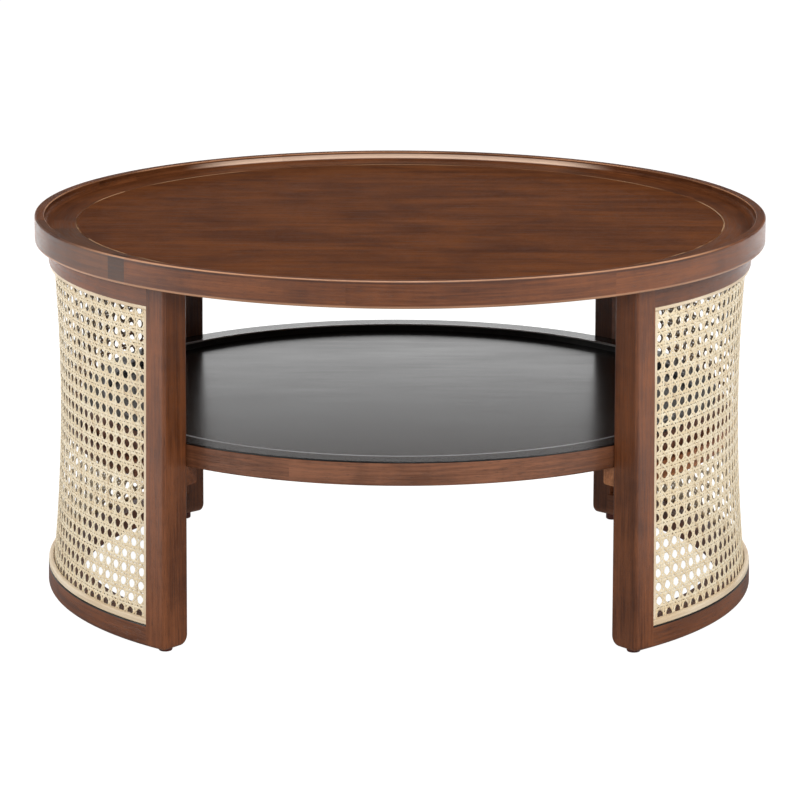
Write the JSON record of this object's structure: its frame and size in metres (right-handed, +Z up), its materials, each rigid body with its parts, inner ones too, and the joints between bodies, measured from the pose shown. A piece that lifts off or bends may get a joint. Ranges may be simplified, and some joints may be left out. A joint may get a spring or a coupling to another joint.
{
  "type": "coffee table",
  "caption": "Round wooden coffee table with a lipped top, curved cane-panelled leg frames, a recessed black round shelf and small levelling feet.",
  "frame": {"origin": "on the floor under the centre of the top", "axes": "+Z up, -Y towards the open front between the leg frames, leg frames at -X and +X"},
  "size_m": [0.9, 0.9, 0.474],
  "materials": {
    "stained_wood": "brown stained solid wood, satin lacquer",
    "top_veneer": "brown stained veneer, satin lacquer",
    "black_lacquer": "black stained board, satin lacquer",
    "cane_webbing": "natural rattan cane, open weave",
    "cane_strip": "natural pale wood strip",
    "dowel_beech": "raw beech",
    "zinc_steel": "zinc plated",
    "insert_brass": "plain",
    "foot_plastic": "brown moulded plastic"
  },
  "bodies": {
    "table": {"bearer_dowels": "dowel_beech", "bearer_screws": "zinc_steel", "bolt_washers": "zinc_steel", "foot_inserts": "insert_brass", "left_back_post": "stained_wood", "left_bottom_rail": "stained_wood", "left_cane_panel": "cane_webbing", "left_cane_strip_back": "cane_strip", "left_cane_strip_bottom": "cane_strip", "left_cane_strip_front": "cane_strip", "left_cane_strip_top": "cane_strip", "left_front_post": "stained_wood", "left_shelf_bearer": "stained_wood", "left_top_rail": "stained_wood", "panel_screws": "zinc_steel", "rail_bolts": "zinc_steel", "rail_dowels": "dowel_beech", "right_back_post": "stained_wood", "right_bottom_rail": "stained_wood", "right_cane_panel": "cane_webbing", "right_cane_strip_back": "cane_strip", "right_cane_strip_bottom": "cane_strip", "right_cane_strip_front": "cane_strip", "right_cane_strip_top": "cane_strip", "right_front_post": "stained_wood", "right_shelf_bearer": "stained_wood", "right_top_rail": "stained_wood", "rim_inserts": "insert_brass", "shelf_board": "black_lacquer", "shelf_lip": "black_lacquer", "shelf_rim_block_1": "stained_wood", "shelf_rim_block_2": "stained_wood", "shelf_rim_block_3": "stained_wood", "shelf_rim_block_4": "stained_wood", "shelf_rim_block_5": "stained_wood", "shelf_rim_block_6": "stained_wood", "top_panel": "top_veneer", "top_rim_block_01": "stained_wood", "top_rim_block_02": "stained_wood", "top_rim_block_03": "stained_wood", "top_rim_block_04": "stained_wood", "top_rim_block_05": "stained_wood", "top_rim_block_06": "stained_wood", "top_rim_block_07": "stained_wood", "top_rim_block_08": "stained_wood", "top_rim_block_09": "stained_wood", "top_rim_block_10": "stained_wood"},
    "right_front_foot": {"right_front_foot_pad": "foot_plastic", "right_front_foot_stud": "zinc_steel"},
    "right_back_foot": {"right_back_foot_pad": "foot_plastic", "right_back_foot_stud": "zinc_steel"},
    "left_front_foot": {"left_front_foot_pad": "foot_plastic", "left_front_foot_stud": "zinc_steel"},
    "left_back_foot": {"left_back_foot_pad": "foot_plastic", "left_back_foot_stud": "zinc_steel"}
  },
  "joints": [
    {"name": "right_front_foot_travel", "type": "slide", "parent": "table", "child": "right_front_foot", "axis": [0, 0, -1], "range_m": [0, 0.006]},
    {"name": "right_back_foot_travel", "type": "slide", "parent": "table", "child": "right_back_foot", "axis": [0, 0, -1], "range_m": [0, 0.006]},
    {"name": "left_front_foot_travel", "type": "slide", "parent": "table", "child": "left_front_foot", "axis": [0, 0, -1], "range_m": [0, 0.006]},
    {"name": "left_back_foot_travel", "type": "slide", "parent": "table", "child": "left_back_foot", "axis": [0, 0, -1], "range_m": [0, 0.006]}
  ]
}
